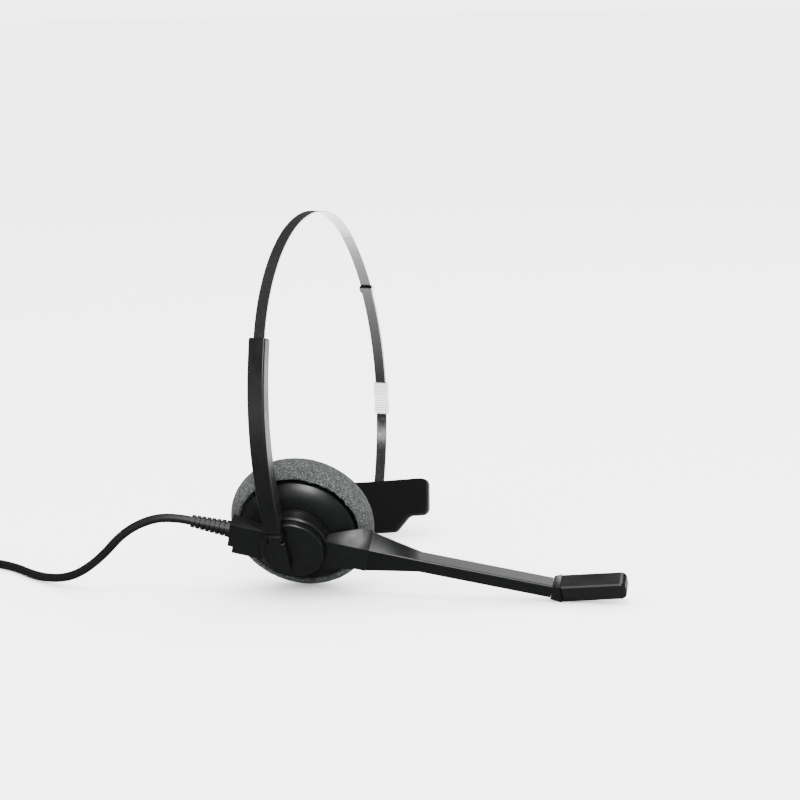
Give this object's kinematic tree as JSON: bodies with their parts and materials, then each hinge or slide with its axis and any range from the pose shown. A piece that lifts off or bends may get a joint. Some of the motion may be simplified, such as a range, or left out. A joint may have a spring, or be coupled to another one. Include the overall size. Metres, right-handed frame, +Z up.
{
  "type": "office headset",
  "caption": "One-ear corded office headset with sprung steel headband, foam ear cup, T-bar temple pad, pivoting microphone boom and coiled lead.",
  "frame": {"origin": "on the desk, below the middle of the headset without its cord", "axes": "+X along the boom, +Y across the head from the ear cup to the temple pad, +Z up"},
  "size_m": [0.3306, 0.1859, 0.1525],
  "materials": {
    "spring_steel": "polished spring steel",
    "clear_sleeve": "frosted clear plastic",
    "black_abs": "fine satin texture",
    "boom_nylon": "satin",
    "inner_plastic": "matte",
    "foam": "open-cell foam",
    "pad_foam": "soft black foam",
    "felt": "thin felt",
    "cone_film": "thin film",
    "magnet": "plated",
    "screw_steel": "zinc plated",
    "copper_wire": "insulated wires",
    "cord_rubber": "matte",
    "tie_fabric": "hook and loop strip",
    "contact_gold": "plated"
  },
  "bodies": {
    "headband": {"main_band": "spring_steel", "sleeve": "clear_sleeve", "arm_shell": "black_abs", "arm_cover": "black_abs", "band_rivets": "spring_steel", "hinge_pin": "spring_steel"},
    "sliding_strip": {"temple_band": "spring_steel", "band_clip": "spring_steel", "temple_pin": "spring_steel"},
    "t_bar": {"temple_plate": "black_abs", "temple_pad": "pad_foam"},
    "ear_cup": {"yoke_tab": "black_abs", "hub_cap": "black_abs", "tab_screws": "screw_steel", "pivot_screw": "screw_steel", "wave_washer": "spring_steel", "cup_housing": "black_abs", "cup_flange": "inner_plastic", "housing_screws": "screw_steel", "baffle": "inner_plastic", "speaker_frame": "inner_plastic", "speaker_cone": "cone_film", "speaker_magnet": "magnet", "acoustic_felt": "felt", "ear_cushion": "foam"},
    "boom": {"carrier_shell": "black_abs", "carrier_back": "black_abs", "carrier_screws": "screw_steel", "boom_tube": "boom_nylon", "boom_wires": "copper_wire", "mic_boot": "boom_nylon", "mic_housing": "black_abs", "mic_cover": "black_abs", "mic_capsule": "magnet", "strain_relief": "cord_rubber", "cord_lead": "cord_rubber", "cord_clamp": "inner_plastic", "cord_run": "cord_rubber", "cord_tail": "cord_rubber", "cord_coil": "cord_rubber", "coil_tie": "tie_fabric", "plug_shell": "black_abs", "plug_contacts": "contact_gold", "plug_latch": "black_abs"}
  },
  "joints": [
    {"name": "strip_slide", "type": "hinge", "parent": "headband", "child": "sliding_strip", "pos_m": [-0.05114, -0.0386, 0.0534], "axis": [1, -0.0003, -0.0079], "range_deg": [-12, 10]},
    {"name": "t_bar_tilt", "type": "hinge", "parent": "sliding_strip", "child": "t_bar", "pos_m": [-0.05142, 0.06328, 0.01409], "axis": [1, -0.0003, -0.0079], "range_deg": [-10, 10]},
    {"name": "cup_tilt", "type": "hinge", "parent": "headband", "child": "ear_cup", "pos_m": [-0.04797, -0.06119, 0.02806], "axis": [0.9994, 0.0014, 0.0339], "range_deg": [-8, 3]},
    {"name": "boom_turn", "type": "hinge", "parent": "ear_cup", "child": "boom", "pos_m": [-0.04604, -0.03778, 0.02829], "axis": [0.1469, -0.9135, -0.3795], "range_deg": [-30, 60]}
  ]
}
